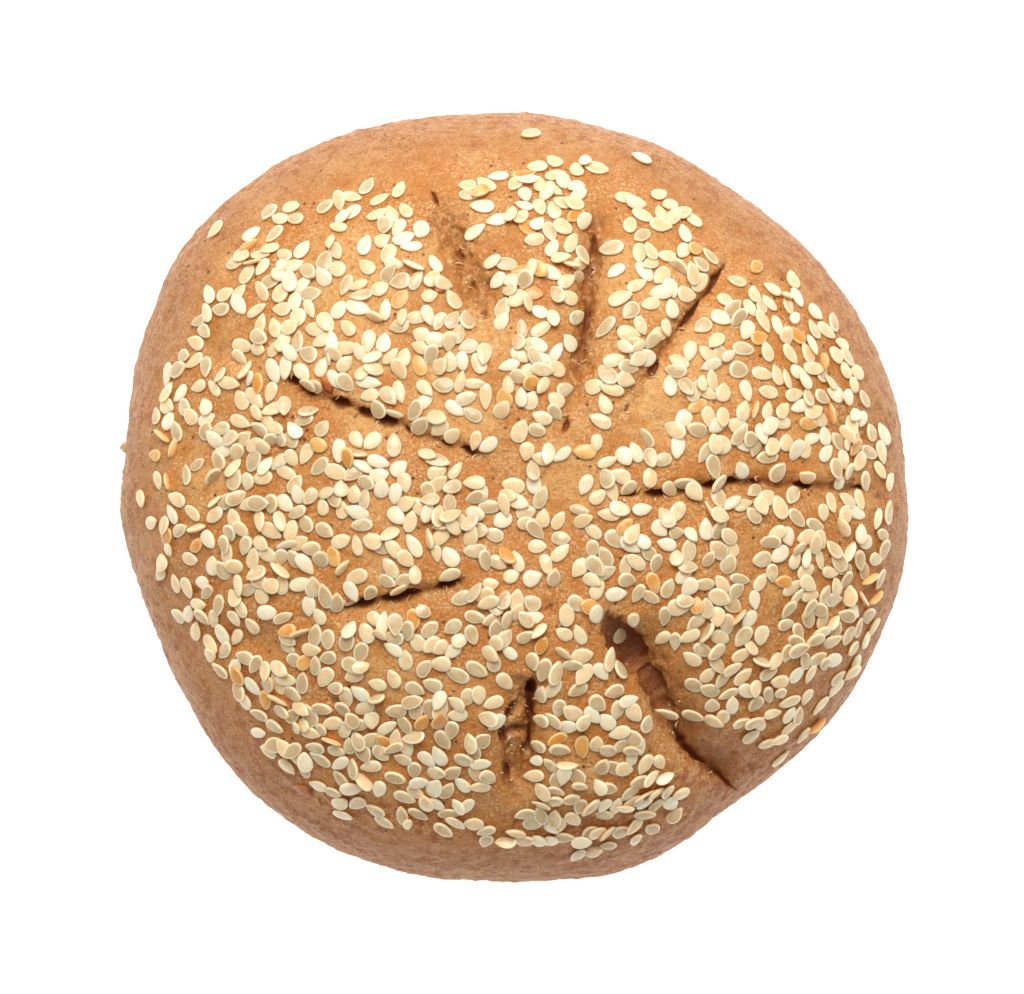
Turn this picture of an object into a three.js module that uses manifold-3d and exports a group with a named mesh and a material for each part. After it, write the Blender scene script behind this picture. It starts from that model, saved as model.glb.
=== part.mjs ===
// A round seeded bread roll, proved, scored with eight cuts that meet near the middle of its top, and baked on a
// flat tray. It is one solid of crust and crumb with a flat underside, and sesame seeds lie on its top.
// Millimetres, +Z up. The origin is on the tray, under the middle of the roll. +Y is the roll's back.

import * as THREE from "three";
import { mergeVertices } from "three/addons/utils/BufferGeometryUtils.js";
import Module from "manifold-3d";

const wasm = await Module();
wasm.setup();

// The loaf's own shape.
const HEIGHT = 46; // tray to the top of the smooth dome, before it sags at the cuts
const BELLY_HEIGHT = 15; // where the roll is widest
const BASE_SHARE = 0.62; // the flat underside's radius, as a share of the outline's
const DOME_FULLNESS = 2.35; // exponent of the superellipse over the belly: 2 is an ellipse, more is fuller

// Outline seen from above: [degrees from +X towards +Y, radius].
const OUTLINE = [
  [0, 56],
  [28, 55.7],
  [52, 53.6],
  [74, 54.5],
  [98, 54.6],
  [118, 57],
  [140, 58.7],
  [158, 56.8],
  [180, 55.7],
  [202, 53.9],
  [222, 55],
  [240, 55.7],
  [266, 54.5],
  [286, 55.2],
  [307, 53.5],
  [326, 55.4],
  [344, 56.1],
];

// Each cut runs from near the rim in to the middle. The crust sags beside it by `sag`, out to `reach` on each side,
// and the blade's slit is `gap` wide at its widest and `depth` deep.
const CUTS = [
  {
    name: "east", sag: 1.6, reach: 6.4, gap: 1.6, depth: 4.5,
    route: [[49, 1.1], [37, 2], [29, 1.8], [15.6, 0.6]],
  },
  {
    name: "north_east", sag: 2.4, reach: 7.2, gap: 1.5, depth: 3.5,
    route: [[29.3, 33.3], [23.7, 25.2], [16.1, 13.1]],
  },
  {
    name: "north", sag: 2.6, reach: 7.2, gap: 1.5, depth: 3.5,
    route: [[11.4, 43.9], [11.1, 32.5], [9.7, 21.3], [7.2, 9.2]],
  },
  {
    name: "north_west", sag: 3, reach: 10.4, gap: 1.4, depth: 2,
    route: [[-11.7, 43.9], [-7.4, 33.4], [-2.8, 20.9]],
  },
  {
    name: "west", sag: 1.6, reach: 6.4, gap: 1.6, depth: 4.5,
    route: [[-32.5, 16.9], [-22, 12.2], [-10.8, 8], [-1, 4.8]],
  },
  {
    name: "south_west", sag: 1.6, reach: 6.4, gap: 1.6, depth: 4,
    route: [[-24, -15.3], [-14.8, -13.8], [-5.8, -11.5]],
  },
  {
    name: "south", sag: 3, reach: 8, gap: 2.4, depth: 4.5,
    route: [[2.3, -40.5], [2.6, -32.8], [2.7, -25.2]],
  },
  {
    name: "south_east", sag: 4.2, reach: 10.4, gap: 3.4, depth: 5.5,
    route: [[30.7, -40.8], [21, -30.3], [13.4, -18.1]],
  },
];
const ROUTE_STEPS = 18; // straight steps along each cut
const CUT_END = 0.2; // how wide and how deep a slit and its sag still are at the cut's two ends, as a share
const CUT_SWELL = 0.6; // exponent of a cut's swelling from its ends to its middle: less is a blunter lens
const SLIT_FLOOR = 0.3; // width of the slit's floor, as a share of its width at the crust
const BLADE_CLEARANCE = 4; // how far the cutting solid stands above the crust

// How finely the crust is made.
const CRUST_SEGMENTS = 96;
const SIDE_RINGS = 5; // between the tray and the belly
const DOME_RINGS = 19; // between the belly and the top
const DOME_SPACING = 0.8; // exponent that spreads the dome's rings evenly along its slope
const WELD = 1e-3; // vertices closer than this are one
const SLOPE_STEP = 0.8; // distance over which the crust's slope is measured

// One sesame seed, and how the seeds are sown.
const SEED_LENGTH = 3.2;
const SEED_WIDTH = 2;
const SEED_THICKNESS = 0.9;
const SEED_TAPER = 0.35; // how much narrower it gets towards its point
const SEED_COUNT = 59;
const SEED_TRIALS = 72; // places tried, of which the ones beside a cut stay empty
const SEEDED_SHARE = 0.86; // how far out the seeds reach, as a share of the outline
const SEED_CLEAR_OF_CUT = 2.6;
const SEED_LIFT = 0.3; // gap under a seed
const SEED_TURN = 77; // degrees from each seed's heading to the next one's
const GOLDEN_ANGLE = 137.508;

const crustMaterial = new THREE.MeshStandardMaterial({ color: 0xd59a5c, roughness: 0.6, metalness: 0 });
const seedMaterial = new THREE.MeshStandardMaterial({ color: 0xf3e2b4, roughness: 0.45, metalness: 0 });

const TURN = 2 * Math.PI;
const easeInOut = (t) => t * t * (3 - 2 * t);

const outlineCurve = new THREE.CatmullRomCurve3(
  OUTLINE.map(([degrees, radius]) => {
    const angle = THREE.MathUtils.degToRad(degrees);
    return new THREE.Vector3(radius * Math.cos(angle), radius * Math.sin(angle), 0);
  }),
  true,
);
const outlinePoints = outlineCurve.getSpacedPoints(CRUST_SEGMENTS * 2);

// The outline's radius in a direction, between the two nearest points of its curve.
function outlineRadius(angle) {
  const wrapped = (angle + TURN) % TURN;
  for (let i = 0; i < outlinePoints.length - 1; i++) {
    const from = (Math.atan2(outlinePoints[i].y, outlinePoints[i].x) + TURN) % TURN;
    const span = (Math.atan2(outlinePoints[i + 1].y, outlinePoints[i + 1].x) - from + TURN) % TURN;
    const along = (wrapped - from + TURN) % TURN;
    if (along <= span)
      return THREE.MathUtils.lerp(outlinePoints[i].length(), outlinePoints[i + 1].length(), along / span);
  }
  return outlinePoints[0].length();
}

for (const cut of CUTS) {
  cut.curve = new THREE.CatmullRomCurve3(cut.route.map(([x, y]) => new THREE.Vector3(x, y, 0)));
  cut.points = cut.curve.getSpacedPoints(ROUTE_STEPS);
}

// How much of its full width and depth a cut has: CUT_END at both its ends and 1 at its middle.
function swell(along) {
  const lens = Math.pow(Math.max(Math.sin(Math.PI * along), 0), CUT_SWELL);
  return CUT_END + (1 - CUT_END) * lens;
}

// The nearest cut to a place on the roll: how far away it is and how far along the cut.
function nearest(cut, x, y) {
  let best = { distance: Infinity, along: 0 };
  cut.points.forEach((point, i) => {
    const distance = Math.hypot(point.x - x, point.y - y);
    if (distance < best.distance) best = { distance, along: i / ROUTE_STEPS };
  });
  return best;
}

// How far the crust sags at a place, because of the cuts around it.
function sagAt(x, y) {
  let deepest = 0;
  for (const cut of CUTS) {
    const { distance, along } = nearest(cut, x, y);
    const near = easeInOut(THREE.MathUtils.clamp(1 - distance / cut.reach, 0, 1));
    deepest = Math.max(deepest, cut.sag * near * swell(along));
  }
  return deepest;
}

// Height of the smooth dome over the tray, at a share of the way out from the middle.
function domeHeight(share) {
  return BELLY_HEIGHT + (HEIGHT - BELLY_HEIGHT) * Math.sqrt(1 - Math.pow(share, DOME_FULLNESS));
}

// Height of the crust over the tray, on the side that faces up.
function crustHeight(x, y) {
  const share = Math.hypot(x, y) / outlineRadius(Math.atan2(y, x));
  return domeHeight(Math.min(share, 1)) - sagAt(x, y);
}

// The way the crust faces at a place.
function crustNormal(x, y) {
  const slopeX = (crustHeight(x + SLOPE_STEP, y) - crustHeight(x - SLOPE_STEP, y)) / (2 * SLOPE_STEP);
  const slopeY = (crustHeight(x, y + SLOPE_STEP) - crustHeight(x, y - SLOPE_STEP)) / (2 * SLOPE_STEP);
  return new THREE.Vector3(-slopeX, -slopeY, 1).normalize();
}

// The loaf before it is cut: a lathed profile of radius 1, bent out to the outline and down at the cuts.
function crustGeometry() {
  const profile = [new THREE.Vector2(0, 0)];
  for (let i = 0; i <= SIDE_RINGS; i++) {
    const angle = (Math.PI / 2) * (i / SIDE_RINGS);
    const share = BASE_SHARE + (1 - BASE_SHARE) * Math.sin(angle);
    profile.push(new THREE.Vector2(share, BELLY_HEIGHT * (1 - Math.cos(angle))));
  }
  for (let i = 1; i < DOME_RINGS; i++) {
    const share = Math.pow(Math.cos((Math.PI / 2) * (i / DOME_RINGS)), DOME_SPACING);
    profile.push(new THREE.Vector2(share, domeHeight(share)));
  }
  profile.push(new THREE.Vector2(0, HEIGHT));
  const geometry = new THREE.LatheGeometry(profile, CRUST_SEGMENTS).rotateX(Math.PI / 2);
  const place = geometry.getAttribute("position");
  for (let i = 0; i < place.count; i++) {
    const radius = outlineRadius(Math.atan2(place.getY(i), place.getX(i)));
    const x = place.getX(i) * radius;
    const y = place.getY(i) * radius;
    const z = place.getZ(i);
    place.setXYZ(i, x, y, z > BELLY_HEIGHT ? z - sagAt(x, y) : z);
  }
  return geometry;
}

// The solid that a blade clears along one cut: a box bent along the route, narrow at its floor and its ends.
function bladeGeometry(cut) {
  const geometry = new THREE.BoxGeometry(1, 1, 1, ROUTE_STEPS, 1, 1);
  const place = geometry.getAttribute("position");
  for (let i = 0; i < place.count; i++) {
    const along = place.getX(i) + 0.5;
    const across = 2 * place.getY(i);
    const onTop = place.getZ(i) > 0;
    const point = cut.curve.getPointAt(along);
    const tangent = cut.curve.getTangentAt(along);
    const open = swell(along);
    const half = (cut.gap / 2) * open * (onTop ? 1 : SLIT_FLOOR);
    const crust = crustHeight(point.x, point.y);
    place.setXYZ(
      i,
      point.x - tangent.y * across * half,
      point.y + tangent.x * across * half,
      onTop ? crust + BLADE_CLEARANCE : crust - cut.depth * open,
    );
  }
  return geometry;
}

// A closed geometry as a solid that can be cut, and back again.
function solidOf(geometry) {
  const bare = geometry.clone();
  bare.deleteAttribute("normal");
  bare.deleteAttribute("uv");
  const merged = mergeVertices(bare, WELD);
  return new wasm.Manifold(
    new wasm.Mesh({
      numProp: 3,
      vertProperties: new Float32Array(merged.getAttribute("position").array),
      triVerts: new Uint32Array(merged.index.array),
    }),
  );
}

function geometryOf(solid) {
  const mesh = solid.getMesh();
  const geometry = new THREE.BufferGeometry();
  geometry.setAttribute("position", new THREE.BufferAttribute(mesh.vertProperties, 3));
  geometry.setIndex(new THREE.BufferAttribute(mesh.triVerts, 1));
  geometry.computeVertexNormals();
  return geometry;
}

// A flat drop-shaped seed: its length along X with the point towards +X, its thickness along Z.
function seedGeometry() {
  const geometry = new THREE.SphereGeometry(1, 8, 4).rotateZ(-Math.PI / 2);
  const place = geometry.getAttribute("position");
  for (let i = 0; i < place.count; i++) {
    const taper = 1 - SEED_TAPER * place.getX(i);
    place.setXYZ(
      i,
      (place.getX(i) * SEED_LENGTH) / 2,
      (place.getY(i) * taper * SEED_WIDTH) / 2,
      (place.getZ(i) * SEED_THICKNESS) / 2,
    );
  }
  geometry.computeVertexNormals();
  return geometry;
}

// Where the seeds lie: the sunflower's spiral, evenly spread over the top, less the places beside a cut.
function seedSites() {
  const sites = [];
  for (let k = 0; k < SEED_TRIALS && sites.length < SEED_COUNT; k++) {
    const angle = THREE.MathUtils.degToRad(k * GOLDEN_ANGLE);
    const reach = SEEDED_SHARE * outlineRadius(angle) * Math.sqrt((k + 0.5) / SEED_TRIALS);
    const x = reach * Math.cos(angle);
    const y = reach * Math.sin(angle);
    if (CUTS.every((cut) => nearest(cut, x, y).distance > SEED_CLEAR_OF_CUT))
      sites.push({ x, y, heading: THREE.MathUtils.degToRad(k * SEED_TURN) });
  }
  return sites;
}

const roll = new THREE.Group();

let loaf = solidOf(crustGeometry());
for (const cut of CUTS) loaf = loaf.subtract(solidOf(bladeGeometry(cut)));
const crust = new THREE.Mesh(geometryOf(loaf), crustMaterial);
crust.name = "roll";
roll.add(crust);

const seedShape = seedGeometry();
seedSites().forEach(({ x, y, heading }, i) => {
  const seed = new THREE.Mesh(seedShape, seedMaterial);
  seed.name = "sesame_seed_" + String(i + 1).padStart(2, "0");
  const up = crustNormal(x, y);
  const lean = new THREE.Quaternion().setFromUnitVectors(new THREE.Vector3(0, 0, 1), up);
  const spin = new THREE.Quaternion().setFromAxisAngle(new THREE.Vector3(0, 0, 1), heading);
  seed.quaternion.copy(lean.multiply(spin));
  seed.position.set(x, y, crustHeight(x, y)).addScaledVector(up, SEED_THICKNESS / 2 + SEED_LIFT);
  roll.add(seed);
});

export default roll;
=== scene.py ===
# The bread roll's looks: a finely modelled crust with its cuts and torn edges, and all of its sesame seeds.
# Shapes are worked out in the roll's own frame in millimetres, and turned to metres when a mesh is made.

import math

import bmesh
import bpy
import numpy as np
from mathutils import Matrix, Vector, noise
from mathutils.bvhtree import BVHTree


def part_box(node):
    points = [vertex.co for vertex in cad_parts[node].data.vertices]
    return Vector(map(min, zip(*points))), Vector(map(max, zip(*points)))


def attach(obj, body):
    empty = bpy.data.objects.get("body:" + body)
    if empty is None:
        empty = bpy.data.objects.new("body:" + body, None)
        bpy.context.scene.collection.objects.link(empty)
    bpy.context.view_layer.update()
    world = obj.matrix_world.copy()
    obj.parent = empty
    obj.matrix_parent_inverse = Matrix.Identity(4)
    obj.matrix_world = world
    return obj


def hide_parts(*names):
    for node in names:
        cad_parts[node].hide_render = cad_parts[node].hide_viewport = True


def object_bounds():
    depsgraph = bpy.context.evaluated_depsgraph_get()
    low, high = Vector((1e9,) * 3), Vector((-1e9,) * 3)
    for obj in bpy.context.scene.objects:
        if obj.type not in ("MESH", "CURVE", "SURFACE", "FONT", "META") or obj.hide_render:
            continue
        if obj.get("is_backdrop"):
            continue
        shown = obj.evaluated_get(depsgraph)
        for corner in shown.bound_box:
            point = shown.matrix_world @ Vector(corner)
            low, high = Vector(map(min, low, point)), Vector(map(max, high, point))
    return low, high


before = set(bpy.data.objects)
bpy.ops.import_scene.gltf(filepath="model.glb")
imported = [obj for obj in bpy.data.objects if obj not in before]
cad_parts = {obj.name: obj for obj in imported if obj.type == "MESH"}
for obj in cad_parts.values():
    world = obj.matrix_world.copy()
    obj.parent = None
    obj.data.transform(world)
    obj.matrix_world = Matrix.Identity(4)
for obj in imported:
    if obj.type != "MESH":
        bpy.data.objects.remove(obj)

CAD_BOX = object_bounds()

MM = 0.001
RANDOM_START = 7
rng = np.random.default_rng(RANDOM_START)

# ------------------------------ driving sizes

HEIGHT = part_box("roll")[1][2] / MM
BELLY_HEIGHT = 15.0  # where the roll is widest
BASE_SHARE = 0.62  # the flat underside's radius, as a share of the outline's
DOME_FULLNESS = 2.35  # exponent of the superellipse over the belly

# Outline from above: [degrees from +X towards +Y, radius].
OUTLINE = [
    [0, 56.1], [14, 56.0], [28, 55.6], [40, 54.7], [52, 53.6], [64, 54.2], [80, 54.5], [96, 54.5],
    [108, 55.9], [120, 57.3], [134, 58.5], [144, 58.7], [153, 57.3], [168, 55.9], [174, 55.5], [180, 55.8],
    [188, 55.0], [200, 53.9], [211, 54.1], [224, 55.2], [236, 55.8], [250, 55.3], [266, 54.5], [278, 54.8],
    [287, 55.2], [297, 54.3], [306, 53.5], [313, 53.8], [322, 54.9], [332, 55.9], [346, 56.1],
]

# Each cut, from the rim inwards. Where a value has two sides, its left comes first and then its right.
#   route      where it runs
#   depth      how deep the crust dips to it
#   reach      how far out the dip reaches, on two sides
#   bare       how far the seeds stay away, on two sides
#   brown_and_shade  how far the band of baked brown and painted shade reaches, on two sides, and how strong
#   narrowing  the share of the bare and brown widths that is lost on the way in
#   soft       how soft the crease is
#   fade       the share of its length over which it fades, at its outer and inner ends
#   slits      of each: start and end along the route, widest gap, depth, and leftward lean of its floor
#   torn       where the crumb tore: start and end along the route, reach on two sides, and how rough it is
CUTS = {
    "east": dict(
        route=[[52.0, 1.4], [45.0, 1.3], [38.0, 1.9], [30.0, 2.0], [22.0, 0.7], [15.0, 0.3]],
        depth=1.6, reach=(5.0, 2.2), bare=(0.9, 0.3), brown_and_shade=(0.8, 1.2, 0.5), narrowing=0.0,
        soft=0.12, fade=(0.10, 0.25),
        slits=[[0.06, 0.12, 0.7, 1.3, -0.6], [0.27, 0.35, 1.2, 1.7, -0.4], [0.46, 0.53, 0.7, 1.0, -0.3],
               [0.54, 0.70, 1.5, 2.2, -0.9], [0.70, 0.78, 0.4, 0.8, -0.3], [0.81, 0.91, 1.3, 1.8, -0.6],
               [0.92, 1.0, 0.9, 1.2, 0.0]],
        torn=[0.10, 1.0, 1.6, 0.8, 0.6],
    ),
    "north_east": dict(
        route=[[31.5, 35.0], [27.5, 29.2], [22.9, 23.2], [18.6, 16.5], [14.5, 10.0]],
        depth=2.1, reach=(5.0, 3.6), bare=(2.2, 0.9), brown_and_shade=(0.9, 2.0, 0.75), narrowing=0.2,
        soft=0.18, fade=(0.20, 0.40),
        slits=[[0.08, 0.30, 0.8, 1.4, 0.3], [0.28, 0.50, 0.9, 1.5, 0.3], [0.63, 0.75, 1.2, 1.3, 0.4],
               [0.88, 0.94, 0.6, 0.8, 0.0]],
        torn=[0.30, 1.0, 1.5, 2.4, 0.6],
    ),
    "north": dict(
        route=[[12.4, 44.5], [11.6, 37.5], [10.9, 30.5], [10.2, 23.0], [8.8, 15.5], [7.2, 8.5]],
        depth=2.7, reach=(5.0, 4.2), bare=(3.0, 1.0), brown_and_shade=(2.0, 2.4, 0.85), narrowing=0.2,
        soft=0.18, fade=(0.30, 0.30),
        slits=[[0.20, 0.31, 0.8, 1.4, 0.3], [0.33, 0.40, 0.5, 0.7, 0.0], [0.48, 0.62, 1.0, 1.2, 0.3],
               [0.60, 0.70, 0.6, 0.8, 0.0], [0.92, 1.0, 0.8, 1.2, 0.0]],
        torn=[0.12, 0.95, 2.2, 2.2, 0.6],
    ),
    "north_west": dict(
        route=[[-12.0, 44.5], [-9.2, 38.2], [-6.8, 32.5], [-4.4, 26.8], [-1.6, 20.9]],
        depth=2.5, reach=(5.5, 6.0), bare=(3.0, 3.4), brown_and_shade=(3.6, 4.0, 0.62), narrowing=0.5,
        soft=0.40, fade=(0.35, 0.35),
        slits=[[0.06, 0.18, 0.8, 1.2, 0.2], [0.41, 0.50, 1.0, 1.2, 0.3], [0.60, 0.66, 0.7, 0.8, 0.3],
               [0.76, 0.84, 0.8, 0.9, 0.0]],
        torn=[0.10, 1.0, 4.0, 4.0, 0.9],
    ),
    "west": dict(
        route=[[-32.5, 17.2], [-27.0, 14.3], [-21.0, 12.1], [-14.5, 9.6], [-8.0, 7.3], [-1.6, 4.9]],
        depth=1.3, reach=(1.8, 6.0), bare=(0.5, 2.0), brown_and_shade=(0.5, 0.4, 0.2), narrowing=0.0,
        soft=0.14, fade=(0.12, 0.20),
        slits=[[0.03, 0.10, 1.3, 1.8, 0.5], [0.10, 0.19, 1.6, 2.0, 0.6], [0.24, 0.34, 1.7, 2.0, 0.7],
               [0.36, 0.44, 1.5, 1.8, 0.5], [0.45, 0.55, 1.8, 2.1, 0.8], [0.57, 0.63, 1.0, 1.3, 0.3],
               [0.73, 0.79, 1.0, 1.3, 0.3], [0.82, 0.91, 1.5, 1.6, 0.3]],
        torn=[0.05, 1.0, 0.8, 1.6, 0.6],
    ),
    "south_west": dict(
        route=[[-25.5, -16.0], [-20.0, -14.6], [-14.5, -13.6], [-9.5, -12.3], [-5.6, -10.9]],
        depth=1.4, reach=(1.5, 5.0), bare=(0.3, 1.6), brown_and_shade=(0.6, 0.8, 0.3), narrowing=0.0,
        soft=0.12, fade=(0.15, 0.15),
        slits=[[0.07, 0.36, 1.3, 1.8, 0.8], [0.34, 0.66, 1.6, 2.1, 0.9], [0.72, 0.94, 1.3, 1.5, 0.5]],
        torn=[0.05, 1.0, 0.8, 1.2, 0.5],
    ),
    "south": dict(
        route=[[0.2, -44.0], [1.6, -38.5], [2.4, -33.5], [2.6, -29.0], [2.8, -24.4]],
        depth=3.0, reach=(5.6, 2.8), bare=(4.2, 0.8), brown_and_shade=(4.6, 1.6, 0.9), narrowing=0.4,
        soft=0.12, fade=(0.50, 0.08),
        slits=[[0.42, 0.68, 0.7, 1.5, 0.2], [0.60, 0.88, 0.9, 1.9, 0.2], [0.83, 0.97, 1.5, 2.4, 0.3]],
        torn=[0.25, 1.0, 4.4, 1.0, 1.0],
    ),
    "south_fork": dict(
        route=[[-1.2, -42.0], [-0.7, -38.5], [-0.6, -35.5], [-1.4, -32.8], [-0.6, -30.0], [1.2, -27.4]],
        depth=0.5, reach=(1.5, 1.5), bare=(1.0, 1.0), brown_and_shade=(1.2, 1.2, 0.9), narrowing=0.0,
        soft=0.3, fade=(0.2, 0.2),
        slits=[[0.14, 0.34, 0.7, 1.0, 0.0], [0.50, 0.66, 1.2, 1.6, 0.2], [0.68, 0.92, 0.6, 1.1, 0.2]],
        torn=[0.2, 1.0, 1.0, 1.6, 0.6],
    ),
    "south_east": dict(
        route=[[33.5, -42.8], [28.6, -38.5], [24.8, -35.4], [22.2, -31.4], [20.0, -26.8], [17.6, -22.4],
               [14.3, -17.9]],
        depth=4.8, reach=(3.6, 9.0), bare=(4.0, 6.0), brown_and_shade=(2.6, 8.0, 1.0), narrowing=0.55,
        soft=0.10, fade=(0.22, 0.14),
        slits=[[0.06, 0.26, 0.8, 1.2, 0.3], [0.24, 0.50, 1.0, 1.8, 0.5]],
        torn=[0.42, 1.05, 2.4, 3.4, 0.6],
    ),
}

# Hollows where the crumb tore out: middle, which way it runs in degrees, half length, half width, depth.
HOLLOWS = [
    [[15.7, -20.6], 124, 4.6, 1.9, 2.3],
    [[19.7, -26.2], 118, 2.9, 1.3, 1.2],
    [[21.3, -29.2], 150, 1.5, 0.8, 0.8],
    [[0.4, -29.2], 60, 1.4, 0.7, 0.9],
    [[0.2, -32.6], 15, 1.6, 0.6, 0.9],
    [[-0.8, -38.6], 95, 1.6, 0.6, 0.5],
    [[-3.4, 29.6], 60, 1.1, 0.7, 0.8],
    [[-7.6, 36.2], 110, 1.8, 0.8, 0.5],
    [[5.4, -15.4], 20, 0.8, 0.6, 1.1],
    [[10.2, 30.6], 95, 2.2, 0.8, 0.6],
]

# Spots where flour shows and the crust is paler: middle, radius.
FLOURY = [
    [[20.4, 11.6], 6.0], [[8.2, 3.0], 5.0], [[-20.0, 27.0], 9.0], [[-8.0, 12.0], 6.0], [[26.0, 21.0], 6.0],
    [[-20.0, 8.0], 5.0], [[-3.0, 24.0], 5.0], [[14.0, 32.0], 4.0],
]

# Spots that no seed lies on: middle, radius.
BARE_SPOTS = [
    [[-28.5, 37.6], 2.6], [[-40.6, 21.4], 4.0], [[-34.5, -19.6], 3.4], [[-40.5, -13.0], 1.8],
    [[20.4, 11.6], 3.2], [[7.6, 1.2], 3.4], [[9.0, 10.5], 2.2], [[-3.5, 3.0], 1.8], [[5.4, -15.4], 1.6],
    [[-24.0, -25.0], 1.8], [[-44.5, 7.5], 2.4], [[36.5, -14.0], 2.0],
]

# Seeds lying by themselves, off the thickly seeded part.
STRAY_SEEDS = [[2.6, 51.0], [-41.8, 37.6], [-23.7, -44.6], [14.9, -19.2], [21.4, -30.6], [18.2, 47.6]]

# Weak folds in the crust that no blade made: route, half width, depth.
FOLDS = [
    [[[-44.0, -20.2], [-38.0, -19.6], [-31.0, -21.0]], 4.5, 1.3],
    [[[-46.0, 20.5], [-40.0, 20.4], [-34.0, 17.8]], 4.5, 0.9],
    [[[36.0, 33.0], [33.5, 36.5], [30.0, 38.5]], 4.0, 0.8],
    [[[-16.0, -38.0], [-20.0, -33.0], [-22.0, -27.0]], 6.0, 0.8],
    [[[36.0, -16.0], [42.0, -18.5], [47.0, -22.0]], 6.0, 0.8],
]

# ------------------------------ small maths


def ease(t):
    """0 to 1 with no corner at either end."""
    t = np.clip(t, 0.0, 1.0)
    return t * t * (3.0 - 2.0 * t)


def curve(a, b, c, d, t):
    """A smooth curve's value between b and c, where a and d are the points beyond them."""
    return 0.5 * (2 * b + (c - a) * t + (2 * a - 5 * b + 4 * c - d) * t**2 + (3 * b - a - 3 * c + d) * t**3)


def periodic(points, degrees):
    """A closed curve of values through [degrees, value] points, read at other angles."""
    angles = np.array([p[0] for p in points], float)
    values = np.array([p[1] for p in points], float)
    count = len(points)
    around = np.mod(degrees, 360.0)
    i = (np.searchsorted(angles, around, side="right") - 1) % count
    width = np.mod(angles[(i + 1) % count] - angles[i], 360.0)
    t = np.mod(around - angles[i], 360.0) / width
    return curve(*(values[(i + k) % count] for k in (-1, 0, 1, 2)), t)


def outline_radius(x, y):
    """How far out the outline lies in each place's direction."""
    return periodic(OUTLINE, np.degrees(np.arctan2(y, x)))


def smooth_route(points, step=0.5):
    """Closely spaced points along a smooth curve through the given ones."""
    points = np.array(points, float)
    padded = np.vstack([2 * points[0] - points[1], points, 2 * points[-1] - points[-2]])
    out = []
    for i in range(1, len(padded) - 2):
        steps = max(2, int(np.linalg.norm(padded[i + 1] - padded[i]) / step))
        for t in np.arange(steps) / steps:
            out.append(curve(*padded[i - 1 : i + 3], t))
    out.append(points[-1])
    return np.array(out)


def along_and_across(route, x, y):
    """Each place's share along the route, how far it is to the left and past an end, and the way on."""
    tangent = np.gradient(route, axis=0)
    tangent /= np.linalg.norm(tangent, axis=1)[:, None]
    length = np.concatenate([[0.0], np.cumsum(np.linalg.norm(np.diff(route, axis=0), axis=1))])
    best = np.full(x.shape, np.inf)
    nearest = np.zeros(x.shape, int)
    for i, point in enumerate(route):
        distance = (x - point[0]) ** 2 + (y - point[1]) ** 2
        closer = distance < best
        best[closer] = distance[closer]
        nearest[closer] = i
    dx = x - route[nearest, 0]
    dy = y - route[nearest, 1]
    forward = tangent[nearest, 0] * dx + tangent[nearest, 1] * dy
    leftward = tangent[nearest, 0] * dy - tangent[nearest, 1] * dx
    along = (length[nearest] + forward) / length[-1]
    side = np.where(leftward < 0, -1.0, 1.0)
    past_end = np.maximum(np.maximum(-along, along - 1.0), 0.0) * length[-1]
    across = np.where(past_end > 0, side * np.sqrt(best), leftward)
    return along, across, past_end, tangent[nearest]


def noise_at(points, scale, octaves=1, shift=0.0):
    """Smooth noise, about -1 to 1, at points in mm. The features are about scale mm across."""
    out = np.empty(len(points))
    for i, (px, py, pz) in enumerate(points / scale + shift):
        spot = Vector((px, py, pz))
        out[i] = noise.noise(spot) if octaves == 1 else noise.fractal(spot, 1.0, 2.0, octaves)
    return out


# ------------------------------ the crust's shape

for cut in CUTS.values():
    cut["path"] = smooth_route(cut["route"])
FOLD_PATHS = [(smooth_route(route), reach, depth) for route, reach, depth in FOLDS]

LOBE_SWELL = 1.0  # how much the crust puffs up between the cuts
LOBE_STEEPNESS = 0.78
# The weak folds' brown is partly painted shade in the fold.
FOLD_BROWN = 0.25
LESS_BROWN = 0.8  # how much weaker the brown gets on the way in, for each part that the cut narrows


def dome(x, y):
    """Height of the smooth dome, and the share of the way out to the outline."""
    share = np.minimum(np.hypot(x, y) / outline_radius(x, y), 1.0)
    return BELLY_HEIGHT + (HEIGHT - BELLY_HEIGHT) * np.sqrt(1.0 - share**DOME_FULLNESS), share


def pillow(t, soft):
    """How two puffed lobes meet: 1 in the crease at 0, with steep sides, and 0 from t = 1 on."""
    t = (np.sqrt(t**2 + soft**2) - soft) / (math.sqrt(1.0 + soft**2) - soft)
    t = np.clip(t, 0.0, 1.0)
    return 1.0 - (1.0 - (1.0 - t) ** 2) ** LOBE_STEEPNESS


def bank(cut, key, along, across):
    """How wide a cut's bare or brown band is at each place, on that place's side of the cut."""
    left, right = cut[key][:2]
    return np.where(across > 0, left, right) * (1.0 - cut["narrowing"] * np.clip(along, 0.0, 1.0))


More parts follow.
